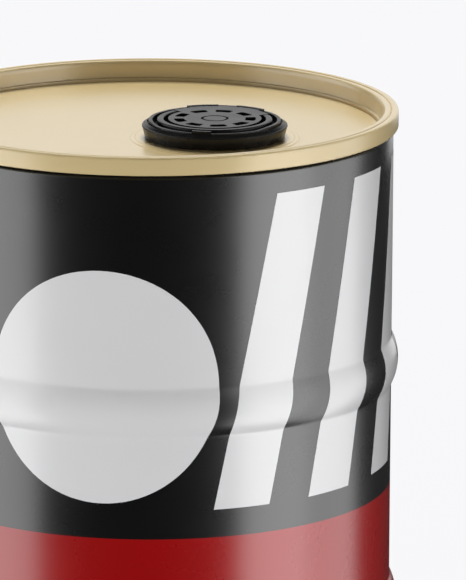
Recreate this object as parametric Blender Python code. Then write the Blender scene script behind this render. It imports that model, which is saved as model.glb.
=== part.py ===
"""A five-litre tinplate can with a closed top and a pull-up pouring spout, in metres with +Z up.

The origin is the centre of the ring that the can stands on. Lengths below are in millimetres.
"""

import math

import bmesh
import bpy
from mathutils import Matrix, Vector

MM = 0.001
GAP = 0.3

# The can: a rolled and welded body with a double-seamed end at the top and at the bottom.
BODY_RADIUS = 82.5
CAN_HEIGHT = 258.0
SHEET = 0.4
SEAM_RADIUS = 84.2
SEAM_HEIGHT = 6.1
TOP_PANEL_DEPTH = 7.0
BOTTOM_PANEL_DEPTH = 5.0
HOOP_FROM_END = 86.7
HOOP_HALF_HEIGHT = 8.2
HOOP_BULGE = 2.3
CAN_SIDES = 40

# The closure: off the can's axis, its heights counted up from the top panel.
CLOSURE_OFFSET = 28.8
CLOSURE_BEARING = -41.5
BAIL_BEARING = 77.6
CLOSURE_SIDES = 36
COLLAR_RADIUS = 24.55
COLLAR_BORE = 21.0
COLLAR_TOP = 6.5
COLLAR_BACK = 7.0
COLLAR_SHOULDER = 6.1
COLLAR_FOOT = 0.7
CAP_TOP = 6.8
DISC_RADIUS = 15.7
BAIL_INNER = 17.2
BAIL_OUTER = 19.45
BAIL_THICKNESS = 2.0
LOBE_RADIUS = 20.65
NOZZLE_BORE = 12.2
NOZZLE_RADIUS = 13.3
NOZZLE_TOP = 2.0
FOLD_FOOT = -12.5

# The cap's thread, one start, right-handed.
THREAD_LEAD = 3.2
THREAD_DEPTH = 0.7
THREAD_ROOT = 1.1
THREAD_CREST = 0.6


def clear_scene():
    for obj in list(bpy.data.objects):
        bpy.data.objects.remove(obj)


def material(name, color, roughness, metallic=0.0):
    made = bpy.data.materials.new(name)
    made.use_nodes = True
    shader = made.node_tree.nodes["Principled BSDF"]
    shader.inputs["Base Color"].default_value = (*color, 1)
    shader.inputs["Roughness"].default_value = roughness
    shader.inputs["Metallic"].default_value = metallic
    return made


def place(name, shape, look, parent=None):
    """The object that holds the finished bmesh, its faces pointing out."""
    bmesh.ops.recalc_face_normals(shape, faces=shape.faces)
    mesh = bpy.data.meshes.new(name)
    shape.to_mesh(mesh)
    shape.free()
    mesh.shade_smooth()
    mesh.set_sharp_from_angle(angle=math.radians(35))
    mesh.materials.append(look)
    obj = bpy.data.objects.new(name, mesh)
    obj.parent = parent
    bpy.context.scene.collection.objects.link(obj)
    return obj


def turned(rings, sides):
    """A closed body lofted through rings of (radius, height) or (radius, height, centre)."""
    shape = bmesh.new()
    loops = []
    for radius, height, *centre in rings:
        x, y = centre[0] if centre else (0, 0)
        loop = []
        for k in range(sides):
            angle = 2 * math.pi * k / sides
            at = Vector((x + radius * math.cos(angle), y + radius * math.sin(angle), height))
            loop.append(shape.verts.new(at * MM))
        loops.append(loop)
    for low, high in zip(loops, loops[1:] + loops[:1]):
        for k in range(sides):
            n = (k + 1) % sides
            shape.faces.new((low[k], low[n], high[n], high[k]))
    bmesh.ops.remove_doubles(shape, verts=shape.verts, dist=1e-7)
    return shape


def swept(section, bearings):
    """A closed body whose section(bearing), a loop of (radius, height), goes round the Z axis.
    It meets itself after 360 degrees; a shorter sweep has flat ends."""
    shape = bmesh.new()
    loops = []
    for bearing in bearings:
        angle = math.radians(bearing)
        across = Vector((math.cos(angle), math.sin(angle), 0))
        loop = [(across * radius + Vector((0, 0, z))) * MM for radius, z in section(bearing)]
        loops.append([shape.verts.new(at) for at in loop])
    whole = abs(bearings[-1] - bearings[0]) > 300
    pairs = list(zip(loops, loops[1:]))
    if whole:
        pairs.append((loops[-1], loops[0]))
    for low, high in pairs:
        for k in range(len(low)):
            n = (k + 1) % len(low)
            shape.faces.new((low[k], low[n], high[n], high[k]))
    if not whole:
        shape.faces.new(loops[0])
        shape.faces.new(loops[-1][::-1])
    return shape


def sheet(line, thickness=SHEET):
    """The closed outline of a sheet whose middle follows this line of (radius, height)."""
    points = [Vector(p[:2]) for p in line]
    centres = [p[2:] for p in line]
    sides = ([], [])
    for k, point in enumerate(points):
        before = (point - points[k - 1]).normalized() if k else None
        after = (points[k + 1] - point).normalized() if k + 1 < len(points) else None
        along = (before + after).normalized() if before and after else before or after
        across = Vector((-along.y, along.x))
        square = across.dot(Vector((-after.y, after.x))) if after else 1
        half = across * thickness / 2 / square
        for side, sign in zip(sides, (1, -1)):
            radius, height = point + half * sign
            side.append((max(radius, 0), height, *centres[k]))
    return sides[0] + sides[1][::-1]


def flipped(line):
    """A line drawn down from the can's top, turned over to stand up from its foot."""
    return [(r, CAN_HEIGHT - z, *rest) for r, z, *rest in line]


def seam_end(panel_depth):
    """The seamed edge of an end, from the hook's tip, round the rim and down to the panel."""
    top = CAN_HEIGHT
    return [
        (81.95, top - 2.0),
        (81.95, top - SEAM_HEIGHT + SHEET / 2),
        (SEAM_RADIUS - SHEET / 2, top - SEAM_HEIGHT + SHEET / 2),
        (SEAM_RADIUS - SHEET / 2, top - 1.2),
        (SEAM_RADIUS - 1.1, top - SHEET / 2),
        (81.3, top - SHEET / 2),
        (79.3, top - 1.6),
        (78.4, top - panel_depth + 0.3),
        (77.6, top - panel_depth - SHEET / 2),
    ]


def closure_centre():
    bearing = math.radians(CLOSURE_BEARING)
    return (CLOSURE_OFFSET * math.cos(bearing), CLOSURE_OFFSET * math.sin(bearing))


def top_end(look):
    """The top sheet: rim, recessed panel, and the neck that the spout is clipped over."""
    panel = CAN_HEIGHT - TOP_PANEL_DEPTH - SHEET / 2
    centre = closure_centre()
    neck = [(28.5, 0), (27.0, 0.4), (22.4, 0.4), (22.4, 3.5), (22.9, 4.0), (23.35, 3.5)]
    line = seam_end(TOP_PANEL_DEPTH) + [(r, panel + z, centre) for r, z in neck]
    return place("top_end", turned(sheet(line), CAN_SIDES), look)


def bottom_end(look):
    """The bottom sheet, with two stiffening rings pressed into its panel."""
    panel = CAN_HEIGHT - BOTTOM_PANEL_DEPTH - SHEET / 2
    rings = [(58.0, 0), (56.5, 0.9), (40.5, 0.9), (39.0, 0), (0, 0)]
    line = seam_end(BOTTOM_PANEL_DEPTH) + [(r, panel + z) for r, z in rings]
    return place("bottom_end", turned(sheet(flipped(line)), CAN_SIDES), look)


def can_body(look):
    """The body: hooked flanges held in both seams, and two hoops that stiffen the wall."""
    wall = BODY_RADIUS - SHEET / 2
    flange = [(82.95, 4.9), (82.95, 1.4), (81.0, 1.4), (81.0, 6.0), (wall, 8.0)]
    hoop = []
    arc_radius = (HOOP_HALF_HEIGHT**2 + HOOP_BULGE**2) / (2 * HOOP_BULGE)
    half_arc = math.asin(HOOP_HALF_HEIGHT / arc_radius)
    for k in range(-2, 3):
        turn = half_arc * k / 2
        bulge = HOOP_BULGE - arc_radius * (1 - math.cos(turn))
        hoop.append((wall + bulge, HOOP_FROM_END + arc_radius * math.sin(turn)))
    half = flange + hoop
    line = [(r, CAN_HEIGHT - z) for r, z in half] + half[::-1]
    return place("can_body", turned(sheet(line), CAN_SIDES), look)


def seam_compound(name, look, at_top):
    """The rubber that fills a seam between the body's flange and the end's inner wall."""
    ring = [(79.8, 2.6), (80.4, 2.6), (80.4, 5.6), (79.3, 5.6)]
    if at_top:
        ring = flipped(ring)
    return place(name, turned(ring, CAN_SIDES), look)


def wall_height(bearing):
    """How high the collar's inner wall stands: cut away in front and raised behind the lobe,
    with a lug in the middle of each that is level with the cap."""
    turn = (bearing + 180) % 360 - 180
    front = abs(turn + 90)
    back = abs(turn - 90)
    if min(front, back) < 8.5:
        return CAP_TOP
    if front < 70:
        ramp = max(0, min(1, (front - 50) / 20))
        return COLLAR_SHOULDER + (COLLAR_TOP - COLLAR_SHOULDER) * ramp
    return COLLAR_BACK if back < 37 else COLLAR_TOP


def collar_section(bearing):
    """The collar is a channel, open below, that clips over the neck's curl."""
    top = wall_height(bearing)
    return [
        (COLLAR_BORE, -2.5),
        (COLLAR_BORE, top),
        (22.6, top),
        (22.65, COLLAR_SHOULDER - 0.2),
        (23.5, 5.35),
        (24.3, 4.7),
        (COLLAR_RADIUS, 4.3),
        (23.4, COLLAR_FOOT),
        (23.0, COLLAR_FOOT),
        (23.0, 2.2),
        (23.9, 2.8),
        (23.9, 5.1),
        (21.9, 5.1),
        (21.9, -2.5),
    ]


def collar_bearings():
    """Every ten degrees, with a pair close together where the wall's height steps."""
    edges = [lug + side * near for lug in (-90, 90) for side in (-1, 1) for near in (8.4, 8.6)]
    edges += [90 + side * near for side in (-1, 1) for near in (36.9, 37.1)]
    regular = [b for b in range(-180, 180, 10) if min(abs(b - e) for e in edges) > 3]
    return sorted(regular + edges)


def spout_collar(look, closure):
    return place("spout_collar", swept(collar_section, collar_bearings()), look, closure)


def neck_gasket(look, closure):
    ring = [(22.3, 4.4), (23.5, 4.4), (23.5, 4.8), (22.3, 4.8)]
    return place("neck_gasket", turned(ring, CLOSURE_SIDES), look, closure)


def spout_fold(look, closure):
    """The middle fold of the spout's wall: a foot, a leaning wall and a lip that stops the nozzle."""
    top = 3.0
    outline = [
        (20.6, FOLD_FOOT),
        (20.6, FOLD_FOOT + 1.4),
        (19.9, FOLD_FOOT + 2.0),
        (18.6, top - 0.6),
        (18.2, top),
        (16.1, top),
        (16.1, top - 0.9),
        (17.6, top - 0.9),
        (18.9, FOLD_FOOT),
    ]
    return place("spout_fold", turned(outline, CLOSURE_SIDES), look, closure)


def thread(radius, outward, low, turns):
    """A helical ridge on a wall of this radius, its foot sunk a little into the wall."""
    steps = round(turns * CLOSURE_SIDES)
    sunk = -0.25 if outward else 0.25
    crest = THREAD_DEPTH if outward else -THREAD_DEPTH
    profile = [
        (radius + sunk, -THREAD_ROOT / 2),
        (radius + crest, -THREAD_CREST / 2),
        (radius + crest, THREAD_CREST / 2),
        (radius + sunk, THREAD_ROOT / 2),
    ]
    shape = bmesh.new()
    loops = []
    for k in range(steps + 1):
        angle = 2 * math.pi * k / CLOSURE_SIDES
        rise = low + THREAD_LEAD * k / CLOSURE_SIDES
        across = Vector((math.cos(angle), math.sin(angle), 0))
        loop = [(across * r + Vector((0, 0, rise + z))) * MM for r, z in profile]
        loops.append([shape.verts.new(at) for at in loop])
    for low_loop, high_loop in zip(loops, loops[1:]):
        for k in range(4):
            n = (k + 1) % 4
            shape.faces.new((low_loop[k], low_loop[n], high_loop[n], high_loop[k]))
    shape.faces.new(loops[0])
    shape.faces.new(loops[-1][::-1])
    return shape


def helper(name, shape, look, closure):
    obj = place(name, shape, look, closure)
    obj.hide_render = True
    obj.display_type = "WIRE"
    return obj


def combine(obj, other, operation):
    step = obj.modifiers.new(other.name, "BOOLEAN")
    step.operation = operation
    step.object = other


def pouring_nozzle(look, closure):
    """The spout's mouth: a threaded tube with a flange at its foot."""
    outline = [
        (NOZZLE_RADIUS, NOZZLE_TOP),
        (NOZZLE_RADIUS, FOLD_FOOT + 2.4),
        (14.2, FOLD_FOOT + 1.1),
        (17.2, FOLD_FOOT + 1.1),
        (17.2, FOLD_FOOT + 0.2),
        (NOZZLE_BORE, FOLD_FOOT + 0.2),
        (NOZZLE_BORE, NOZZLE_TOP),
    ]
    nozzle = place("pouring_nozzle", turned(outline, CLOSURE_SIDES), look, closure)
    ridge = helper("nozzle_thread", thread(NOZZLE_RADIUS, True, -4.2, 1.5), look, closure)
    combine(nozzle, ridge, "UNION")
    return nozzle


def tear_off_seal(look, closure):
    """The disc that seals the nozzle until it is torn out by its ring."""
    outline = [(0, -8.2), (11.9, -8.2), (11.9, -9.0), (0, -9.0)]
    seal = place("tear_off_seal", turned(outline, CLOSURE_SIDES), look, closure)
    ring = turned([(6.4, -5.2), (8.0, -5.2), (8.0, -6.3), (6.4, -6.3)], 24)
    bmesh.ops.translate(ring, verts=ring.verts, vec=(0, 1.2 * MM, 0))
    combine(seal, helper("seal_ring", ring, look, closure), "UNION")
    post = bmesh.new()
    where = Matrix.Translation(Vector((0, 8.6, -7.2)) * MM)
    size = Matrix.Diagonal((2.4 * MM, 1.3 * MM, 3.0 * MM, 1))
    bmesh.ops.create_cube(post, size=1, matrix=where @ size)
    combine(seal, helper("seal_post", post, look, closure), "UNION")
    return seal


def cap_section(bearing):
    """The cap's disc, the seat that the bail lies on and, at the back, the lobe that it hinges on."""
    turn = abs((bearing + 180) % 360 - 180 - 90)
    seat = CAP_TOP - BAIL_THICKNESS - GAP
    rim = DISC_RADIUS
    if turn < 57.6:
        rim = LOBE_RADIUS if turn < 37 else BAIL_OUTER
    return [
        (8.0, CAP_TOP),
        (rim, CAP_TOP),
        (rim, seat),
        (LOBE_RADIUS, seat),
        (LOBE_RADIUS, seat - 0.9),
        (DISC_RADIUS, seat - 0.9),
        (DISC_RADIUS, -2.4),
        (14.4, -2.4),
        (14.4, 3.4),
        (8.0, 3.4),
    ]


def cap_bearings():
    edges = [90 + side * near for side in (-1, 1) for near in (36.9, 37.1, 57.5, 57.7)]
    regular = [b for b in range(-180, 180, 10) if min(abs(b - e) for e in edges) > 3]
    return sorted(regular + edges)


def slot_cutters():
    """The nine pockets in the cap's face, as one cutter."""
    shape = bmesh.new()
    for k in range(9):
        turn = Matrix.Rotation(math.radians(-5 - BAIL_BEARING + 90 + 40 * k), 4, "Z")
        where = Matrix.Translation(Vector((12.1, 0, CAP_TOP)) * MM)
        size = Matrix.Diagonal((3.1 * MM, 5.2 * MM, 4.2 * MM, 1))
        bmesh.ops.create_cube(shape, size=1, matrix=turn @ where @ size)
    return shape


def screw_cap(look, closure):
    """The cap: a ring swept round, a core that closes its middle, a thread and the pockets."""
    cap = place("screw_cap", swept(cap_section, cap_bearings()), look, closure)
    core = turned([(0, CAP_TOP), (8.6, CAP_TOP), (8.6, 3.4), (0, 3.4)], CLOSURE_SIDES)
    combine(cap, helper("cap_core", core, look, closure), "UNION")
    ridge = thread(14.4, False, -4.2 + THREAD_LEAD / 2 + 0.6, 1.0)
    combine(cap, helper("cap_thread", ridge, look, closure), "UNION")
    combine(cap, helper("cap_pockets", slot_cutters(), look, closure), "DIFFERENCE")
    return cap


def cap_liner(look, closure):
    outline = [(0, 3.1), (13.5, 3.1), (13.5, 2.3), (0, 2.3)]
    return place("cap_liner", turned(outline, CLOSURE_SIDES), look, closure)


def bail_section(bearing):
    low = CAP_TOP - BAIL_THICKNESS
    return [(BAIL_INNER, low), (BAIL_INNER, CAP_TOP), (BAIL_OUTER, CAP_TOP), (BAIL_OUTER, low)]


def pull_bail(look, closure):
    """The C-shaped bail that lies in the cap's groove and hinges at the lobe."""
    end = 58.7
    start = 90 + end
    steps = 24
    bearings = [start + (360 - 2 * end) * k / steps for k in range(steps + 1)]
    return place("pull_bail", swept(bail_section, bearings), look, closure)


def build():
    clear_scene()
    closure = bpy.data.objects.new("closure", None)
    bpy.context.scene.collection.objects.link(closure)
    x, y = closure_centre()
    closure.location = Vector((x, y, CAN_HEIGHT - TOP_PANEL_DEPTH)) * MM
    closure.rotation_euler.z = math.radians(BAIL_BEARING - 90)

    gold = material("gold_lacquer", (0.62, 0.48, 0.25), 0.35, 1.0)
    print_ink = material("printed_tinplate", (0.03, 0.03, 0.03), 0.25)
    rubber = material("seam_rubber", (0.30, 0.30, 0.28), 0.8)
    black = material("black_polythene", (0.03, 0.03, 0.03), 0.45)
    clear = material("natural_polythene", (0.75, 0.75, 0.70), 0.4)
    foam = material("liner_foam", (0.85, 0.85, 0.82), 0.7)

    can_body(print_ink)
    top_end(gold)
    bottom_end(gold)
    seam_compound("top_seam_compound", rubber, True)
    seam_compound("bottom_seam_compound", rubber, False)
    spout_collar(black, closure)
    neck_gasket(rubber, closure)
    spout_fold(clear, closure)
    pouring_nozzle(clear, closure)
    tear_off_seal(clear, closure)
    screw_cap(black, closure)
    cap_liner(foam, closure)
    pull_bail(black, closure)


build()
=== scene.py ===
"""The looks of a five-litre paint can with a pull-up pouring spout. Metres, +Z up."""

import math

import bmesh
import bpy
from mathutils import Matrix, Vector


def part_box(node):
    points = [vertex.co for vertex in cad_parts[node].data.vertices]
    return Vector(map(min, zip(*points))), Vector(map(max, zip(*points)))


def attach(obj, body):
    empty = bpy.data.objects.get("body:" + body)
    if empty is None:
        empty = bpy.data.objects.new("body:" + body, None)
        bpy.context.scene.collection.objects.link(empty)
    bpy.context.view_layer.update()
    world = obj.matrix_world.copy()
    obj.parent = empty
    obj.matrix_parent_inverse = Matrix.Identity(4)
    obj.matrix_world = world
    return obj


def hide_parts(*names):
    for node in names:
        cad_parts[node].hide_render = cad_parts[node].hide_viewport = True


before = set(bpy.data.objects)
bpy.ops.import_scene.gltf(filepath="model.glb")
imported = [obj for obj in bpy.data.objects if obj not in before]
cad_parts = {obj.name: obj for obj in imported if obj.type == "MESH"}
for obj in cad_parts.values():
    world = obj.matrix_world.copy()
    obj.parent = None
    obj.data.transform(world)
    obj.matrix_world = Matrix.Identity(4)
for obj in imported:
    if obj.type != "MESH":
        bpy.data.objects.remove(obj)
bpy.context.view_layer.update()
MM = 0.001


# ---------------------------------------------------------------- The can's body
# Tinplate, printed flat, rolled into a tube and welded down the back. Two hoops are rolled out of
# the wall to stiffen it, and both edges are necked in and hooked into the double seams. The upper
# half carries black ink and the lower half red, and the weld's margin is left unprinted.

body_low, body_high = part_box("can_body")
can_low, can_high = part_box("top_end")[0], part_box("top_end")[1]
CAN_TOP = can_high.z / MM
WALL_RADIUS = 82.5
WALL_SHEET = 0.3
NECK_RADIUS = 81.2
NECK_FROM_END = 6.0
SHOULDER_FROM_END = 8.0
BODY_EDGE_FROM_END = 2.0
HOOP_FROM_END = 86.7
HOOP_HALF_HEIGHT = 8.2
HOOP_BULGE = body_high.x / MM - WALL_RADIUS
HOOP_FILLET = 0.12
HOOP_REACH = 1.25
HOOP_STEPS = 24
NECK_STEPS = 6
COLOUR_SPLIT = 128.5
COLUMNS = 192
WELD_BEARING = 90.0
WELD_MARGIN = 5.0
WELD_HALF_WIDTH = 0.45
WELD_PROUD = 0.12
WELD_FOOT_RATIO = 1.3
SHARP_ANGLE = 35
VARNISH_ROUGHNESS = 0.27


def wire(tree, kind, inputs=None, **settings):
    """A new node; an input takes either a value or another node's output."""
    node = tree.nodes.new(kind)
    for key, value in settings.items():
        setattr(node, key, value)
    for key, value in (inputs or {}).items():
        if isinstance(value, bpy.types.NodeSocket):
            tree.links.new(value, node.inputs[key])
        else:
            node.inputs[key].default_value = value
    return node


def blank_material(name):
    """A material with nothing but its Principled shader, and the piece's own coordinates."""
    material = bpy.data.materials.new(name)
    material.use_nodes = True
    tree = material.node_tree
    shader = tree.nodes["Principled BSDF"]
    place = wire(tree, "ShaderNodeTexCoord").outputs["Object"]
    return material, tree, shader, place


def speckle(tree, place, size, detail=2.0, stretch=(1, 1, 1)):
    """Noise whose lumps are this many millimetres across, stretched along an axis if asked."""
    mapped = wire(tree, "ShaderNodeMapping", {"Vector": place, "Scale": stretch})
    noise = wire(
        tree,
        "ShaderNodeTexNoise",
        {"Vector": mapped.outputs[0], "Scale": 1 / (size * MM), "Detail": detail},
    )
    return noise.outputs["Fac"]


def between(tree, factor, low, high, start=0.3, end=0.7):
    """Runs from the value low to high as the factor goes from start to end."""
    return wire(
        tree,
        "ShaderNodeMapRange",
        {"Value": factor, "From Min": start, "From Max": end, "To Min": low, "To Max": high},
    ).outputs["Result"]


def shades(tree, factor, low, high, start=0.3, end=0.7):
    """Runs from one colour to another as the factor goes from start to end."""
    ramp = wire(tree, "ShaderNodeValToRGB", {"Fac": factor})
    ramp.color_ramp.elements[0].position = start
    ramp.color_ramp.elements[0].color = (*low, 1)
    ramp.color_ramp.elements[1].position = end
    ramp.color_ramp.elements[1].color = (*high, 1)
    return ramp.outputs["Color"]


def bumps(tree, height, depth, strength=1.0, below=None):
    """A bump whose full height is this many millimetres, laid over an earlier one if given."""
    inputs = {"Height": height, "Distance": depth * MM, "Strength": strength}
    if below:
        inputs["Normal"] = below
    return wire(tree, "ShaderNodeBump", inputs).outputs["Normal"]


def printing_ink(name, thin, full, gloss=(0.265, 0.295)):
    """Roller-coated stoving ink under clear varnish: even, with a faint orange peel."""
    material, tree, shader, place = blank_material(name)
    cloud = speckle(tree, place, 70, 3)
    colour = shades(tree, cloud, thin, full)
    tree.links.new(colour, shader.inputs["Base Color"])
    smear = speckle(tree, place, 16, 4)
    tree.links.new(between(tree, smear, *gloss), shader.inputs["Roughness"])
    peel = bumps(tree, speckle(tree, place, 2.6, 1), 0.0016)
    dust = bumps(tree, speckle(tree, place, 0.35, 3), 0.0006, below=peel)
    tree.links.new(dust, shader.inputs["Normal"])
    shader.inputs["Specular IOR Level"].default_value = 1.0
    shader.inputs["Coat Weight"].default_value = 1.0
    shader.inputs["Coat Roughness"].default_value = VARNISH_ROUGHNESS
    return material


def bare_margin(name):
    """Tinplate under varnish, with the weld's heat tint along its middle."""
    material, tree, shader, place = blank_material(name)
    across = wire(tree, "ShaderNodeSeparateXYZ", {"Vector": place}).outputs["X"]
    away = wire(tree, "ShaderNodeMath", {0: across}, operation="ABSOLUTE").outputs[0]
    heat = between(tree, away, 0, 1, 0.6 * MM, 2.4 * MM)
    tin = shades(tree, heat, (0.20, 0.17, 0.15), (0.62, 0.60, 0.56), 0.0, 1.0)
    tree.links.new(tin, shader.inputs["Base Color"])
    grain = speckle(tree, place, 0.9, 3, (1, 1, 0.04))
    tree.links.new(between(tree, grain, 0.26, 0.42), shader.inputs["Roughness"])
    tree.links.new(bumps(tree, grain, 0.004), shader.inputs["Normal"])
    shader.inputs["Metallic"].default_value = 0.9
    return material


def wall_radius(z):
    """The wall's outer radius at this height, with the two hoops filleted into it."""
    radius = WALL_RADIUS
    for middle in (HOOP_FROM_END, CAN_TOP - HOOP_FROM_END):
        arc = HOOP_BULGE * (1 - ((z - middle) / HOOP_HALF_HEIGHT) ** 2)
        radius += (arc + math.hypot(arc, 2 * HOOP_FILLET)) / 2
    return radius


def wall_heights():
    """The heights of the wall's rings, close together where a hoop curves."""
    heights = [SHOULDER_FROM_END, CAN_TOP - SHOULDER_FROM_END, COLOUR_SPLIT]
    heights += [20.0, 45.0, 65.0, 110.0, 147.0, CAN_TOP - 65.0, CAN_TOP - 45.0, CAN_TOP - 20.0]
    for middle in (HOOP_FROM_END, CAN_TOP - HOOP_FROM_END):
        for k in range(-HOOP_STEPS, HOOP_STEPS + 1):
            heights.append(middle + HOOP_HALF_HEIGHT * HOOP_REACH * k / HOOP_STEPS)
    return sorted(heights)


def wall_columns():
    """The bearings of the wall's columns, with the margin's and the weld's edges among them."""
    per_mm = math.degrees(1 / WALL_RADIUS)
    foot = WELD_HALF_WIDTH * WELD_FOOT_RATIO
    edges = [WELD_MARGIN * per_mm, foot * per_mm, WELD_HALF_WIDTH * per_mm]
    columns = [360 * k / COLUMNS for k in range(COLUMNS)]
    return sorted(columns + [WELD_BEARING + side * edge for side in (-1, 1) for edge in edges])


def weld_rise(bearing):
    """How far the weld's bead stands off the wall: all of it up to its edge, then nothing."""
    away = abs(bearing - WELD_BEARING) * math.radians(1) * WALL_RADIUS
    return WELD_PROUD if away < WELD_HALF_WIDTH * 1.1 else 0.0


def on_ring(bearing, radius, z, centre=(0, 0)):
    """The point at this bearing and radius in millimetres, as metres."""
    angle = math.radians(bearing)
    x = centre[0] + radius * math.cos(angle)
    y = centre[1] + radius * math.sin(angle)
    return Vector((x, y, z)) * MM


def join_loops(shape, loops, closed):
    """Faces between each loop and the next, and from the last back to the first if closed."""
    pairs = list(zip(loops, loops[1:]))
    if closed:
        pairs.append((loops[-1], loops[0]))
    for near, far in pairs:
        for k, corner in enumerate(near):
            n = (k + 1) % len(near)
            shape.faces.new((corner, near[n], far[n], far[k]))


def finished(name, shape, materials, sharp=SHARP_ANGLE):
    """The object that holds this shape: faces out, smooth but for edges over the sharp angle."""
    bmesh.ops.remove_doubles(shape, verts=shape.verts, dist=1e-7)
    bmesh.ops.recalc_face_normals(shape, faces=shape.faces)
    mesh = bpy.data.meshes.new(name)
    shape.to_mesh(mesh)
    shape.free()
    mesh.shade_smooth()
    mesh.set_sharp_from_angle(angle=math.radians(sharp))
    for material in materials:
        mesh.materials.append(material)
    piece = bpy.data.objects.new(name, mesh)
    bpy.context.scene.collection.objects.link(piece)
    return piece


def necked_edge():
    """From the straight wall in to the hooked edge under the seam, as (depth, radius)."""
    curve = []
    for k in range(NECK_STEPS + 1):
        ease = (1 - math.cos(math.pi * k / NECK_STEPS)) / 2
        depth = SHOULDER_FROM_END + (NECK_FROM_END - SHOULDER_FROM_END) * k / NECK_STEPS
        curve.append((depth, WALL_RADIUS + (NECK_RADIUS - WALL_RADIUS) * ease))
    return curve[1:] + [(BODY_EDGE_FROM_END, NECK_RADIUS)]


outside = [(z, wall_radius(z)) for z in wall_heights()]
outside = [(z, r) for z, r in necked_edge()][::-1] + outside
outside += [(CAN_TOP - z, r) for z, r in necked_edge()]
body_outline = outside + [(z, r - WALL_SHEET) for z, r in outside[::-1]]
body_shape = bmesh.new()
body_loops = []
for column in wall_columns():
    rise = weld_rise(column)
    loop = [body_shape.verts.new(on_ring(column, r + rise, z)) for z, r in body_outline]
    body_loops.append(loop)
join_loops(body_shape, body_loops, True)
margin_sine = math.sin(WELD_MARGIN / WALL_RADIUS)
for face in body_shape.faces:
    middle = face.calc_center_median()
    if middle.y > 0 and abs(middle.x) < margin_sine * middle.y:
        face.material_index = 2
    elif middle.z < COLOUR_SPLIT * MM:
        face.material_index = 1
black_ink = printing_ink("black_stoving_ink", (0.0032, 0.0032, 0.0034), (0.0022, 0.0022, 0.0024))
red_ink = printing_ink("red_stoving_ink", (0.37, 0.0006, 0.0010), (0.34, 0.0004, 0.0007))
margin_tin = bare_margin("varnished_weld_margin")
printed_body = finished("printed_body", body_shape, [black_ink, red_ink, margin_tin])
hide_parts("can_body")
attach(printed_body, "can")


# ---------------------------------------------------------------- The white print
# Opaque white ink laid over the black in one more pass: discs and leaning bars that go round the
# can, stopping short of the weld. It stands a few hundredths of a millimetre proud of the wall.

PRINT_PROUD = 0.05
PRINT_THICKNESS = 0.03
DISC_HALF = 39.5
DISC_CORNERS = 96
DISC_DEPTH = 78.0
BAR_TOP_DEPTH = 14.5
BAR_FOOT_DEPTH = 120.0
FRONT_BEARING = -90.0
DISC_TURNS = (-11.5, 121.0, -122.0)
BAR_WIDTH = 20.0
BAR_LEAN = 12.0
BAR_TURNS = (29.5, 54.5, 79.5, 158.5, -52.7, -77.5, -161.0)


def flat_disc(turn):
    """A disc's outline on the unrolled wall, as (arc length from the front, height)."""
    along = math.radians(turn) * WALL_RADIUS
    height = CAN_TOP - DISC_DEPTH
    corners = []
    for k in range(DISC_CORNERS):
        angle = 2 * math.pi * k / DISC_CORNERS
        corners.append((along + DISC_HALF * math.cos(angle), height + DISC_HALF * math.sin(angle)))
    return corners


def flat_bar(turn):
    """A leaning bar's outline on the unrolled wall."""
    along = math.radians(turn) * WALL_RADIUS
    high, low = CAN_TOP - BAR_TOP_DEPTH, CAN_TOP - BAR_FOOT_DEPTH
    shift = math.tan(math.radians(BAR_LEAN)) * (high - low) / 2
    half = BAR_WIDTH / 2
    return [
        (along - shift - half, low),
        (along - shift + half, low),
        (along + shift + half, high),
        (along + shift - half, high),
    ]


def slice_flat(shape, point, normal):
    """Cuts every face of a flat shape along this plane."""
    everything = list(shape.verts) + list(shape.edges) + list(shape.faces)
    bmesh.ops.bisect_plane(shape, geom=everything, dist=1e-5, plane_co=point, plane_no=normal)


def add_print(target, corners):
    """Cuts a flat outline along the wall's columns and rings, then wraps it round the can."""
    flat = bmesh.new()
    flat.faces.new([flat.verts.new((x, z, 0)) for x, z in corners])
    near = min(x for x, z in corners)
    far = max(x for x, z in corners)
    low = min(z for x, z in corners)
    high = max(z for x, z in corners)
    step = 2 * math.pi * WALL_RADIUS / COLUMNS
    for k in range(math.ceil(near / step), math.floor(far / step) + 1):
        slice_flat(flat, (k * step, 0, 0), (1, 0, 0))
    for z in wall_heights():
        if low < z < high:
            slice_flat(flat, (0, z, 0), (0, 1, 0))
    made = {}
    for level, proud in enumerate((PRINT_PROUD, PRINT_PROUD - PRINT_THICKNESS)):
        for vert in flat.verts:
            bearing = FRONT_BEARING + math.degrees(vert.co.x / WALL_RADIUS)
            at = on_ring(bearing, wall_radius(vert.co.y) + proud, vert.co.y)
            made[vert, level] = target.verts.new(at)
    for face in flat.faces:
        target.faces.new([made[vert, 0] for vert in face.verts])
        target.faces.new([made[vert, 1] for vert in reversed(face.verts)])
    for edge in flat.edges:
        if edge.is_boundary:
            one, two = edge.verts
            target.faces.new((made[one, 0], made[two, 0], made[two, 1], made[one, 1]))
    flat.free()


print_shape = bmesh.new()
for disc_turn in DISC_TURNS:
    add_print(print_shape, flat_disc(disc_turn))
for bar_turn in BAR_TURNS:
    add_print(print_shape, flat_bar(bar_turn))
white_ink = printing_ink("white_stoving_ink", (0.80, 0.80, 0.81), (0.84, 0.84, 0.85), (0.28, 0.31))
white_print = finished("white_print", print_shape, [white_ink])
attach(white_print, "can")


# ---------------------------------------------------------------- The top end
# A disc of gold-lacquered tinplate, pressed to a deep countersunk panel and curled round the
# body's flange in a double seam. A shallow plinth and an upright neck are pressed into the panel,
# off its middle, and the spout is clipped over the neck's curl.

END_SHEET = 0.36
SEAM_RADIUS = can_high.x / MM
SEAM_HEIGHT = 6.1
TOP_PANEL_DEPTH = 7.0
END_COLUMNS = 192
collar_low, collar_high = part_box("neck_gasket")
CLOSURE = ((collar_low.x + collar_high.x) / 2 / MM, (collar_low.y + collar_high.y) / 2 / MM)
PANEL = CAN_TOP - TOP_PANEL_DEPTH
CENTRED = (0, 0)
CORNER_SHARE = 0.48


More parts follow.
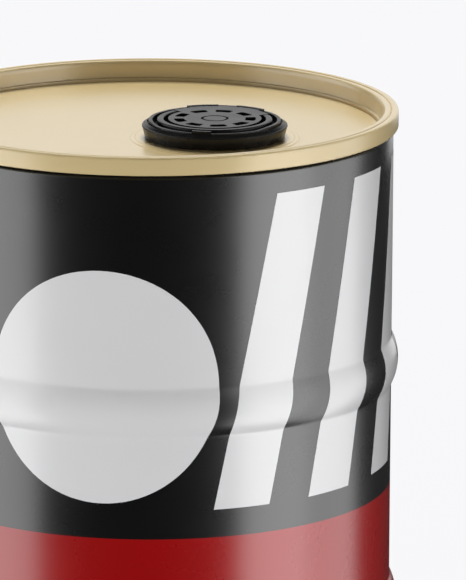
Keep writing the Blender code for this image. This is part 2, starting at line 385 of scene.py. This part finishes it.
def softened(line, steps=5, closed=False):
    """Rounds the corners of a line of (radius, height, fillet, centre)."""
    points = []
    count = len(line)
    for k, (r, z, fillet, centre) in enumerate(line):
        here = Vector((r, z))
        if not fillet or (not closed and k in (0, count - 1)):
            points.append((r, z, centre))
            continue
        before = Vector(line[k - 1][:2]) - here
        after = Vector(line[(k + 1) % count][:2]) - here
        reach = min(fillet, CORNER_SHARE * before.length, CORNER_SHARE * after.length)
        start = here + before.normalized() * reach
        end = here + after.normalized() * reach
        for n in range(steps + 1):
            t = n / steps
            at = start * (1 - t) ** 2 + here * 2 * t * (1 - t) + end * t**2
            points.append((at.x, at.y, centre))
    return points


def sheet_outline(line, thickness):
    """The closed outline of a sheet whose middle follows this line."""
    points = [Vector((r, z)) for r, z, centre in line]
    sides = ([], [])
    for k, point in enumerate(points):
        before = (point - points[k - 1]).normalized() if k else None
        after = (points[k + 1] - point).normalized() if k + 1 < len(points) else None
        along = (before + after).normalized() if before and after else before or after
        across = Vector((-along.y, along.x))
        square = across.dot(Vector((-after.y, after.x))) if after else 1
        for side, half in zip(sides, (thickness / 2, -thickness / 2)):
            moved = point + across * half / square
            side.append((max(moved.x, 0), moved.y, line[k][2]))
    return sides[0] + sides[1][::-1]


def turned_shape(outline, columns=END_COLUMNS, start=0.0):
    """A closed body turned from a closed outline of (radius, height, centre)."""
    shape = bmesh.new()
    loops = []
    for k in range(columns):
        bearing = start + 360 * k / columns
        loops.append([shape.verts.new(on_ring(bearing, r, z, at)) for r, z, at in outline])
    join_loops(shape, loops, True)
    return shape


def seam_line(panel_depth):
    """The middle of the seamed edge's sheet, from the hook's tip over the rim to the panel."""
    half = END_SHEET / 2
    line = [
        (82.1, 2.6, 0),
        (82.1, SEAM_HEIGHT - half - 0.5, 0.5),
        (82.6, SEAM_HEIGHT - half, 0.5),
        (SEAM_RADIUS - half, SEAM_HEIGHT - half, 0.55),
        (SEAM_RADIUS - half, half, 1.15),
        (82.15, half, 0.6),
        (81.75, 1.05, 0.3),
        (81.35, half + 0.1, 0.5),
        (79.75, half + 0.1, 0.5),
        (79.2, 1.6, 0.5),
        (78.8, panel_depth - 1.0, 0.3),
        (78.1, panel_depth - 0.85, 0.2),
        (78.35, panel_depth + 0.7, 0.3),
        (77.6, panel_depth + 0.75, 0.25),
        (77.3, panel_depth + half, 0.2),
        (74.0, panel_depth + half, 0),
    ]
    return [(r, CAN_TOP - depth, fillet, CENTRED) for r, depth, fillet in line]


def gold_lacquer(name):
    """Pigmented gold lacquer on rolled tinplate: satin, with the sheet's faint rolling grain."""
    material, tree, shader, place = blank_material(name)
    cloud = speckle(tree, place, 45, 3)
    tint = shades(tree, cloud, (0.69, 0.54, 0.275), (0.72, 0.565, 0.29))
    tree.links.new(tint, shader.inputs["Base Color"])
    rolling = speckle(tree, place, 0.5, 3, (0.06, 1, 1))
    tree.links.new(between(tree, rolling, 0.28, 0.34), shader.inputs["Roughness"])
    grain = bumps(tree, rolling, 0.0022)
    lacquer = bumps(tree, speckle(tree, place, 0.42, 3), 0.0075, below=grain)
    tree.links.new(lacquer, shader.inputs["Normal"])
    shader.inputs["Specular IOR Level"].default_value = 1.0
    shader.inputs["Coat Weight"].default_value = 1.0
    shader.inputs["Coat Roughness"].default_value = VARNISH_ROUGHNESS
    return material


end_middle = PANEL - END_SHEET / 2
neck_line = [
    (30.2, end_middle, 0, CLOSURE),
    (28.6, end_middle, 0.25, CLOSURE),
    (28.2, end_middle + 0.3, 0.25, CLOSURE),
    (27.1, end_middle + 0.3, 0.25, CLOSURE),
    (26.7, end_middle + 0.6, 0.25, CLOSURE),
    (22.4, end_middle + 0.6, 0.3, CLOSURE),
    (22.4, end_middle + 3.75, 0.3, CLOSURE),
    (23.1, end_middle + 3.75, 0.3, CLOSURE),
    (23.3, end_middle + 3.2, 0, CLOSURE),
]
top_line = softened(seam_line(TOP_PANEL_DEPTH) + neck_line)
top_shape = turned_shape(sheet_outline(top_line, END_SHEET))
end_gold = gold_lacquer("gold_end_lacquer")
lacquered_top_end = finished("lacquered_top_end", top_shape, [end_gold], 40)
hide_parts("top_end")
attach(lacquered_top_end, "can")


# ---------------------------------------------------------------- The bottom end
# The same lacquered sheet, seamed on upside down after filling. Two rings pressed into its panel
# keep it from drumming, and the can stands on its seam.

BOTTOM_PANEL_DEPTH = 5.0
RING_RISE = 0.9

base_middle = CAN_TOP - BOTTOM_PANEL_DEPTH - END_SHEET / 2
ring_line = [
    (58.2, base_middle, 0.9, CENTRED),
    (56.3, base_middle + RING_RISE, 0.9, CENTRED),
    (40.7, base_middle + RING_RISE, 0.9, CENTRED),
    (38.8, base_middle, 0.9, CENTRED),
    (0, base_middle, 0, CENTRED),
]
bottom_line = softened(seam_line(BOTTOM_PANEL_DEPTH) + ring_line)
bottom_line = [(r, CAN_TOP - z, at) for r, z, at in bottom_line]
bottom_shape = turned_shape(sheet_outline(bottom_line, END_SHEET))
lacquered_bottom_end = finished("lacquered_bottom_end", bottom_shape, [end_gold], 40)
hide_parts("bottom_end")
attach(lacquered_bottom_end, "can")


# ---------------------------------------------------------------- Sealing compound and gasket
# Rubber run into the ends before seaming, and the soft ring between the neck's curl and the
# spout's collar. All three are hidden once the can is closed.


def sealing_rubber(name):
    """Rubber compound, dried dull and a little lumpy."""
    material, tree, shader, place = blank_material(name)
    cloud = speckle(tree, place, 4, 3)
    grey = shades(tree, cloud, (0.20, 0.20, 0.185), (0.27, 0.27, 0.25))
    tree.links.new(grey, shader.inputs["Base Color"])
    tree.links.new(between(tree, cloud, 0.7, 0.85), shader.inputs["Roughness"])
    tree.links.new(bumps(tree, speckle(tree, place, 0.5, 3), 0.03), shader.inputs["Normal"])
    return material


def dress_node(node_name, material):
    """Puts a finished material on a CAD node whose shape is already right."""
    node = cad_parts[node_name]
    for slot_index in range(len(node.material_slots)):
        node.material_slots[slot_index].material = material


seam_rubber = sealing_rubber("lined_seam_rubber")
for rubber_node in ("top_seam_compound", "bottom_seam_compound", "neck_gasket"):
    dress_node(rubber_node, seam_rubber)


# ---------------------------------------------------------------- The spout's collar
# Black polythene, moulded, and pushed over the neck's curl until it snaps under it. Its inner
# wall rings the cap, with a lug front and back, and two thin slots let the shoulder flex.

BAIL_BEARING = 77.6
BORE = 21.0
COLLAR_RADIUS = 24.55
COLLAR_FOOT = 0.7
COLLAR_TOP = 6.5
COLLAR_BACK = 7.0
COLLAR_SHOULDER = 6.1
CAP_TOP = 6.8
LUG_HALF_ANGLE = 8.5
SLOT_HALF_ANGLE = 38.0
SLOT_DEPTH = 0.9
SLOT_RUN_OUT = 3.0
LOBE_HALF_ANGLE = 37.0
FRONT_HALF_ANGLE = 75.0
FRONT_CUT_FLAT = 50.0
FRONT_CUT_END = 70.0


def black_polythene(name):
    """Moulded black polythene: a soft gloss, a fine spark-eroded grain and faint flow marks."""
    material, tree, shader, place = blank_material(name)
    flow = speckle(tree, place, 6, 3)
    black = shades(tree, flow, (0.013, 0.013, 0.0135), (0.016, 0.016, 0.0165))
    tree.links.new(black, shader.inputs["Base Color"])
    tree.links.new(between(tree, flow, 0.24, 0.30), shader.inputs["Roughness"])
    grain = bumps(tree, speckle(tree, place, 0.22, 2), 0.006)
    tree.links.new(bumps(tree, flow, 0.012, below=grain), shader.inputs["Normal"])
    shader.inputs["Specular IOR Level"].default_value = 0.2
    return material


def swept_shape(section, bearings, closed=True):
    """A body whose section(bearing), a loop of (radius, height), goes round the closure.
    Bearings count from the closure's own X axis, and its Y axis runs through the bail's hinge."""
    shape = bmesh.new()
    loops = []
    for bearing in bearings:
        world = bearing + BAIL_BEARING - 90
        loop = [on_ring(world, r, PANEL + z, CLOSURE) for r, z in section(bearing)]
        loops.append([shape.verts.new(at) for at in loop])
    join_loops(shape, loops, closed)
    if not closed:
        shape.faces.new(loops[0])
        shape.faces.new(loops[-1][::-1])
    return shape


def away_from(bearing, middle):
    """How many degrees lie between a bearing and another, either way round."""
    return abs((bearing - middle + 180) % 360 - 180)


def eased(value, start, end):
    """0 below start and 1 above end, turning smoothly between them."""
    t = max(0.0, min(1.0, (value - start) / (end - start)))
    return t * t * (3 - 2 * t)


def round_bearings(step, edges, near=0.12):
    """Bearings a step apart all round, with a close pair at each edge."""
    pairs = [edge + side * near for edge in edges for side in (-1, 1)]
    regular = [b * step - 180 for b in range(round(360 / step))]
    kept = [b for b in regular if min(away_from(b, p) for p in pairs) > step / 4]
    return sorted((b + 180) % 360 - 180 for b in kept + pairs)


def bevelled(piece, width, segments=2, angle=32):
    """Rounds every edge sharper than the angle, as a mould's edges are."""
    step = piece.modifiers.new("edges", "BEVEL")
    step.width = width * MM
    step.segments = segments
    step.limit_method = "ANGLE"
    step.angle_limit = math.radians(angle)
    step.harden_normals = True
    step.use_clamp_overlap = True
    return piece


def applied(piece):
    """The piece with its modifiers' result as its own mesh."""
    graph = bpy.context.evaluated_depsgraph_get()
    mesh = bpy.data.meshes.new_from_object(piece.evaluated_get(graph))
    piece.modifiers.clear()
    old = piece.data
    piece.data = mesh
    bpy.data.meshes.remove(old)
    return piece


def inner_wall_top(bearing):
    """How high the collar's inner wall stands: cut away in front and raised behind the lobe,
    with a lug in the middle of each that is level with the cap."""
    front = away_from(bearing, -90)
    back = away_from(bearing, 90)
    if min(front, back) < LUG_HALF_ANGLE:
        return CAP_TOP
    if front < FRONT_HALF_ANGLE:
        rise = eased(front, FRONT_CUT_FLAT, FRONT_CUT_END)
        return COLLAR_SHOULDER + (COLLAR_TOP - COLLAR_SHOULDER) * rise
    return COLLAR_BACK if back < LOBE_HALF_ANGLE else COLLAR_TOP


def slot_cut(bearing):
    """How deep the shoulder's slot is: full at the closure's two sides, nothing elsewhere."""
    side = BAIL_BEARING - 90
    away = min(away_from(bearing, -side), away_from(bearing, 180 - side))
    return SLOT_DEPTH * (1 - eased(away, SLOT_HALF_ANGLE - SLOT_RUN_OUT, SLOT_HALF_ANGLE))


def collar_section(bearing):
    """The inner wall, the shoulder, the leaning skirt and the groove that grips the neck."""
    top = inner_wall_top(bearing)
    shoulder = COLLAR_SHOULDER - 0.15
    cut = slot_cut(bearing)
    corners = [
        (BORE, -2.5, 0),
        (BORE, top, 0.22),
        (22.3, top, 0.22),
        (22.34, shoulder - cut, 0.05),
        (22.78, shoulder - cut, 0.05),
        (22.82, shoulder - 0.15, 0.1),
        (23.75, 5.0, 0.25),
        (23.9, 4.85, 0.08),
        (24.4, 4.85, 0.15),
        (COLLAR_RADIUS, 4.5, 0.15),
        (23.5, COLLAR_FOOT, 0.2),
        (23.05, COLLAR_FOOT, 0.1),
        (23.05, 2.2, 0.3),
        (23.85, 2.8, 0.3),
        (23.85, 4.3, 0.2),
        (21.9, 4.3, 0.2),
        (21.9, -2.5, 0),
    ]
    line = softened([(r, z, fillet, CENTRED) for r, z, fillet in corners], 3, True)
    return [(r, z) for r, z, at in line]


collar_edges = [lug + side * LUG_HALF_ANGLE for lug in (-90, 90) for side in (-1, 1)]
collar_edges += [90 + side * LOBE_HALF_ANGLE for side in (-1, 1)]
moulded_black = black_polythene("moulded_black_polythene")
collar_shape = swept_shape(collar_section, round_bearings(2, collar_edges))
moulded_collar = finished("moulded_collar", collar_shape, [moulded_black])
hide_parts("spout_collar")
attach(moulded_collar, "can")


# ---------------------------------------------------------------- The folding spout and nozzle
# Milky polythene, blown thin. Inside the closed can the spout's wall is folded down on itself:
# the fold rises halfway and the nozzle, with its thread, comes all the way up as it is pulled.

FOLD_FOOT = -12.5
NOZZLE_BORE = 12.2
NOZZLE_RADIUS = 13.3
NOZZLE_TOP = 2.0
THREAD_LEAD = 3.2
THREAD_DEPTH = 0.7
THREAD_ROOT = 1.1
THREAD_CREST = 0.6
THREAD_SUNK = 0.25
SPOUT_COLUMNS = 120


def milky_polythene(name):
    """Natural polythene: milky, a little translucent, with faint marks along its draw."""
    material, tree, shader, place = blank_material(name)
    cloud = speckle(tree, place, 5, 3)
    milk = shades(tree, cloud, (0.72, 0.72, 0.66), (0.80, 0.80, 0.75))
    tree.links.new(milk, shader.inputs["Base Color"])
    tree.links.new(between(tree, cloud, 0.32, 0.45), shader.inputs["Roughness"])
    draw = speckle(tree, place, 0.6, 2, (1, 1, 0.2))
    tree.links.new(bumps(tree, draw, 0.012), shader.inputs["Normal"])
    shader.inputs["Subsurface Weight"].default_value = 0.15
    shader.inputs["Subsurface Radius"].default_value = (0.002, 0.002, 0.0018)
    return material


def turned_at_closure(corners, steps=3):
    """A body turned about the closure's axis, with heights counted from the panel."""
    line = [(r, PANEL + z, fillet, CLOSURE) for r, z, fillet in corners]
    return turned_shape(softened(line, steps, True), SPOUT_COLUMNS)


def thread_ridge(radius, outward, low, turns, columns=72):
    """A helical ridge with tapered ends, its foot sunk a little into the wall."""
    shape = bmesh.new()
    loops = []
    steps = round(turns * columns)
    for k in range(steps + 1):
        taper = eased(min(k, steps - k), 0, columns / 12) * THREAD_DEPTH
        sunk, crest = (-THREAD_SUNK, taper) if outward else (THREAD_SUNK, -taper)
        rise = PANEL + low + THREAD_LEAD * k / columns
        profile = [
            (radius + sunk, -THREAD_ROOT / 2),
            (radius + crest, -THREAD_CREST / 2),
            (radius + crest, THREAD_CREST / 2),
            (radius + sunk, THREAD_ROOT / 2),
        ]
        bearing = 360 * k / columns + BAIL_BEARING - 90
        loops.append([shape.verts.new(on_ring(bearing, r, rise + z, CLOSURE)) for r, z in profile])
    join_loops(shape, loops, False)
    shape.faces.new(loops[0])
    shape.faces.new(loops[-1][::-1])
    return shape


def combined(piece, shape, operation):
    """Unites the piece with another closed shape, or cuts that shape out of it."""
    other = finished(piece.name + "_tool", shape, [piece.data.materials[0]])
    step = piece.modifiers.new("combine", "BOOLEAN")
    step.operation = operation
    step.object = other
    applied(piece)
    bpy.data.objects.remove(other)
    piece.data.shade_smooth()
    piece.data.set_sharp_from_angle(angle=math.radians(SHARP_ANGLE))
    return piece


clear_plastic = milky_polythene("natural_spout_polythene")
fold_shape = turned_at_closure(
    [
        (20.6, FOLD_FOOT, 0.3),
        (20.6, FOLD_FOOT + 1.4, 0.4),
        (19.9, FOLD_FOOT + 2.0, 1.0),
        (18.6, 2.4, 0.5),
        (18.2, 3.0, 0.4),
        (16.1, 3.0, 0.3),
        (16.1, 2.1, 0.3),
        (17.6, 2.1, 0.6),
        (18.9, FOLD_FOOT, 0.3),
    ]
)
folding_wall = finished("folding_wall", fold_shape, [clear_plastic])
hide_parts("spout_fold")
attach(folding_wall, "fold")

nozzle_shape = turned_at_closure(
    [
        (NOZZLE_RADIUS, NOZZLE_TOP, 0.35),
        (NOZZLE_RADIUS, FOLD_FOOT + 2.4, 0.6),
        (14.2, FOLD_FOOT + 1.1, 0.5),
        (17.2, FOLD_FOOT + 1.1, 0.3),
        (17.2, FOLD_FOOT + 0.2, 0.3),
        (NOZZLE_BORE, FOLD_FOOT + 0.2, 0.3),
        (NOZZLE_BORE, NOZZLE_TOP, 0.35),
    ]
)
threaded_nozzle = finished("threaded_nozzle", nozzle_shape, [clear_plastic])
combined(threaded_nozzle, thread_ridge(NOZZLE_RADIUS, True, -4.2, 1.5), "UNION")
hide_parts("pouring_nozzle")
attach(threaded_nozzle, "nozzle")
dress_node("tear_off_seal", clear_plastic)


# ---------------------------------------------------------------- The cap's liner
# A disc of white polythene foam, punched out and pressed into the roof of the cap.

FOAM_CELL = 0.4


def punched_foam(name):
    """White foam, matt, with its small round cells showing."""
    material, tree, shader, place = blank_material(name)
    scale = 1 / (FOAM_CELL * MM)
    foam = wire(tree, "ShaderNodeTexVoronoi", {"Vector": place, "Scale": scale})
    cells = foam.outputs["Distance"]
    white = shades(tree, cells, (0.70, 0.70, 0.67), (0.82, 0.82, 0.80))
    tree.links.new(white, shader.inputs["Base Color"])
    tree.links.new(between(tree, cells, 0.6, 0.8), shader.inputs["Roughness"])
    tree.links.new(bumps(tree, cells, 0.05), shader.inputs["Normal"])
    return material


dress_node("cap_liner", punched_foam("cap_liner_foam"))


# ---------------------------------------------------------------- The screw cap
# Black polythene. A flat disc with nine moulded pockets round it, a lobe at the back that the
# bail hinges on, a ledge that the bail lies on, and a skirt with the thread inside.

DISC_RADIUS = 15.7
BAIL_OUTER = 19.45
LOBE_RADIUS = 20.65
BAIL_THICKNESS = 2.0
SEAT = CAP_TOP - BAIL_THICKNESS - 0.3
POCKETS = 9
POCKET_RADIUS = 12.1
POCKET_LENGTH = 5.5
POCKET_WIDTH = 3.5
POCKET_DEPTH = 2.1
POCKET_START = -5.0
POCKET_CORNER = 0.35
POCKET_STEPS = 4
CUTTER_CLEARANCE = 1.0
CAP_EDGE_ROUND = 0.24
CAP_BORE = 14.4
WING_HALF_ANGLE = 57.55


def cap_section(bearing):
    """The disc, with the lobe and its two wings at the back, the ledge and the skirt."""
    turn = away_from(bearing, 90)
    rim = DISC_RADIUS
    if turn < WING_HALF_ANGLE:
        rim = LOBE_RADIUS if turn < LOBE_HALF_ANGLE else BAIL_OUTER
    return [
        (0, CAP_TOP),
        (rim, CAP_TOP),
        (rim, SEAT),
        (LOBE_RADIUS, SEAT),
        (LOBE_RADIUS, SEAT - 0.9),
        (DISC_RADIUS, SEAT - 0.9),
        (DISC_RADIUS, -2.4),
        (CAP_BORE, -2.4),
        (CAP_BORE, 3.4),
        (0, 3.4),
    ]


def pocket_shape():
    """The nine pockets, as one cutter: blocks curved to the disc, with rounded corners."""
    shape = bmesh.new()
    half_turn = math.degrees(POCKET_LENGTH / 2 / POCKET_RADIUS)
    inner, outer = POCKET_RADIUS - POCKET_WIDTH / 2, POCKET_RADIUS + POCKET_WIDTH / 2
    for pocket in range(POCKETS):
        middle = POCKET_START + 360 * pocket / POCKETS
        corners = []
        there = range(-POCKET_STEPS, POCKET_STEPS + 1)
        for r, turns in ((inner, there), (outer, reversed(there))):
            for t in turns:
                nip = POCKET_CORNER if abs(t) == POCKET_STEPS else 0.0
                bearing = middle + half_turn * t / POCKET_STEPS
                corners.append((bearing, r + (nip if r == inner else -nip)))
        levels = []
        for z in (CAP_TOP - POCKET_DEPTH, CAP_TOP + CUTTER_CLEARANCE):
            levels.append([shape.verts.new(on_ring(b, r, PANEL + z, CLOSURE)) for b, r in corners])
        join_loops(shape, levels, False)
        shape.faces.new(levels[0])
        shape.faces.new(levels[1][::-1])
    return shape


def gate_ring():
    """A cutter for the shallow round groove that the mould's gate leaves at the disc's middle."""
    corners = [(3.8, 0.5), (3.8, -0.55), (4.7, -0.55), (4.7, 0.5)]
    return turned_shape([(r, PANEL + CAP_TOP + z, CLOSURE) for r, z in corners], 60)


cap_edges = [90 + side * edge for side in (-1, 1) for edge in (LOBE_HALF_ANGLE, WING_HALF_ANGLE)]
cap_shape = swept_shape(cap_section, round_bearings(3, cap_edges))
moulded_cap = finished("moulded_cap", cap_shape, [moulded_black])
combined(moulded_cap, thread_ridge(CAP_BORE, False, -2.0, 1.0), "UNION")
combined(moulded_cap, pocket_shape(), "DIFFERENCE")
combined(moulded_cap, gate_ring(), "DIFFERENCE")
bevelled(moulded_cap, CAP_EDGE_ROUND, 3)
applied(moulded_cap)
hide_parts("screw_cap")
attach(moulded_cap, "cap")


# ---------------------------------------------------------------- The bail
# A C-shaped bow of the same polythene that lies in the cap's groove. It swings up on thin
# webs at the ends of the lobe, and is what the spout is pulled out by.

BAIL_INNER = 17.2
BAIL_GAP_HALF_ANGLE = 58.7
BAIL_STEPS = 110
BAIL_END_NIP = 0.25
BAIL_END_REACH = 1.0


def bail_section(bearing):
    """A rounded bar, drawn in a little towards its two ends."""
    ends = (90 + BAIL_GAP_HALF_ANGLE, 90 - BAIL_GAP_HALF_ANGLE)
    near_end = min(away_from(bearing, end) for end in ends)
    nip = BAIL_END_NIP * (1 - eased(near_end, 0, BAIL_END_REACH))
    low, high = CAP_TOP - BAIL_THICKNESS + nip, CAP_TOP - nip
    inner, outer = BAIL_INNER + nip, BAIL_OUTER - nip
    corners = [(inner, low, 0.3), (inner, high, 0.4), (outer, high, 0.6), (outer, low, 0.3)]
    line = softened([(r, z, fillet, CENTRED) for r, z, fillet in corners], 4, True)
    return [(r, z) for r, z, at in line]


def bail_bearings():
    """The bow's bearings from one end round to the other, closer together near its ends."""
    start = 90 + BAIL_GAP_HALF_ANGLE
    sweep = 360 - 2 * BAIL_GAP_HALF_ANGLE
    fine = [0.3, 0.6, 0.9]
    steps = [sweep * k / BAIL_STEPS for k in range(BAIL_STEPS + 1)]
    return sorted(start + b for b in steps + fine + [sweep - b for b in fine])


bail_shape = swept_shape(bail_section, bail_bearings(), False)
cap_bail = finished("cap_bail", bail_shape, [moulded_black])
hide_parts("pull_bail")
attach(cap_bail, "bail")


# ---------------------------------------------------------------- Floor, light and camera
# A pale sweep of floor. Tall soft panels, two at the right and one at the left, and a wide one
# behind are seen only as reflections. Four washes, from the front, the sides and overhead
# towards the back, light only the matt surfaces.

FLOOR_HALF = 9.0
FLOOR_GLOW = 0.985
SIDE_PANEL_HEIGHT = 2.8
LEVEL_BELOW = 1
AMBIENT = 0.02
BACKDROP = 0.92

floor_shape = bmesh.new()
bmesh.ops.create_grid(floor_shape, x_segments=1, y_segments=1, size=FLOOR_HALF)
floor_material, _, floor_shader, _ = blank_material("pale_floor")
floor_shader.inputs["Base Color"].default_value = (0.02, 0.02, 0.0202, 1)
floor_shader.inputs["Roughness"].default_value = 0.9
floor_shader.inputs["Specular IOR Level"].default_value = 0.0
floor_shader.inputs["Emission Color"].default_value = (0.92, 0.92, 0.937, 1)
floor_shader.inputs["Emission Strength"].default_value = FLOOR_GLOW
floor = finished("floor", floor_shape, [floor_material])
floor.visible_glossy = False
floor.visible_diffuse = False
floor.visible_shadow = False


def soft_panel(name, turn, distance, height, size, power, glossy, diffuse):
    """A rectangular soft light facing the can, at this turn from the front towards +X. A low one
    faces level, and a high one is aimed down at the can's foot."""
    light = bpy.data.lights.new(name, "AREA")
    light.shape = "RECTANGLE"
    light.size, light.size_y = size
    light.energy = power
    light.cycles.use_multiple_importance_sampling = glossy
    panel = bpy.data.objects.new(name, light)
    angle = math.radians(turn + FRONT_BEARING)
    at = Vector((math.cos(angle) * distance, math.sin(angle) * distance, height))
    panel.location = at
    aim = Vector((0, 0, height if height < LEVEL_BELOW else 0)) - at
    panel.rotation_euler = aim.to_track_quat("-Z", "Y").to_euler()
    panel.visible_glossy = glossy
    panel.visible_diffuse = diffuse
    panel.visible_camera = False
    bpy.context.scene.collection.objects.link(panel)
    return panel


soft_panel("right_front_panel", 60, 1.5, 0.0, (0.95, SIDE_PANEL_HEIGHT), 18, True, False)
soft_panel("right_rear_panel", 94.5, 1.5, 0.0, (0.95, SIDE_PANEL_HEIGHT), 11.5, True, False)
soft_panel("left_panel", -89, 1.5, 0.0, (2.1, SIDE_PANEL_HEIGHT), 31, True, False)
soft_panel("back_panel", 180, 2.4, 0.75, (2.9, 2.0), 14, True, False)
soft_panel("front_wash", 6, 2.6, -0.45, (3.0, 2.2), 50, False, True)
soft_panel("right_wash", 75, 2.2, 0.0, (1.6, 1.8), 24, False, True)
soft_panel("left_wash", -75, 2.2, 0.0, (1.6, 1.8), 27, False, True)
soft_panel("overhead_wash", 180, 1.5, 2.1, (1.1, 1.1), 84, False, True)

world = bpy.data.worlds.new("studio")
bpy.context.scene.world = world
world.use_nodes = True
world_tree = world.node_tree
seen = wire(world_tree, "ShaderNodeLightPath").outputs["Is Camera Ray"]
backdrop = between(world_tree, seen, AMBIENT, BACKDROP, 0.0, 1.0)
world_colour = world_tree.nodes["Background"]
world_colour.inputs["Color"].default_value = (1.0, 1.0, 1.018, 1)
world_tree.links.new(backdrop, world_colour.inputs["Strength"])

CAMERA_PLACE = (0.0, -2.040, 0.680)
CAMERA_YAW = 0.792
CAMERA_PITCH = 13.403
CAMERA_ROLL = 0.238
CAMERA_LENS = 380.81
SENSOR_WIDTH = 36.0

camera = bpy.data.cameras.new("camera")
camera.lens = CAMERA_LENS
camera.sensor_width = SENSOR_WIDTH
camera.clip_start = 0.01
camera_stand = bpy.data.objects.new("camera", camera)
bpy.context.scene.collection.objects.link(camera_stand)
camera_stand.location = CAMERA_PLACE
camera_stand.rotation_mode = "XYZ"
turned_to_subject = (
    Matrix.Rotation(math.radians(-CAMERA_YAW), 4, "Z")
    @ Matrix.Rotation(math.radians(90 - CAMERA_PITCH), 4, "X")
    @ Matrix.Rotation(math.radians(CAMERA_ROLL), 4, "Z")
)
camera_stand.rotation_euler = turned_to_subject.to_euler()
bpy.context.scene.camera = camera_stand
bpy.context.scene.view_settings.view_transform = "Standard"
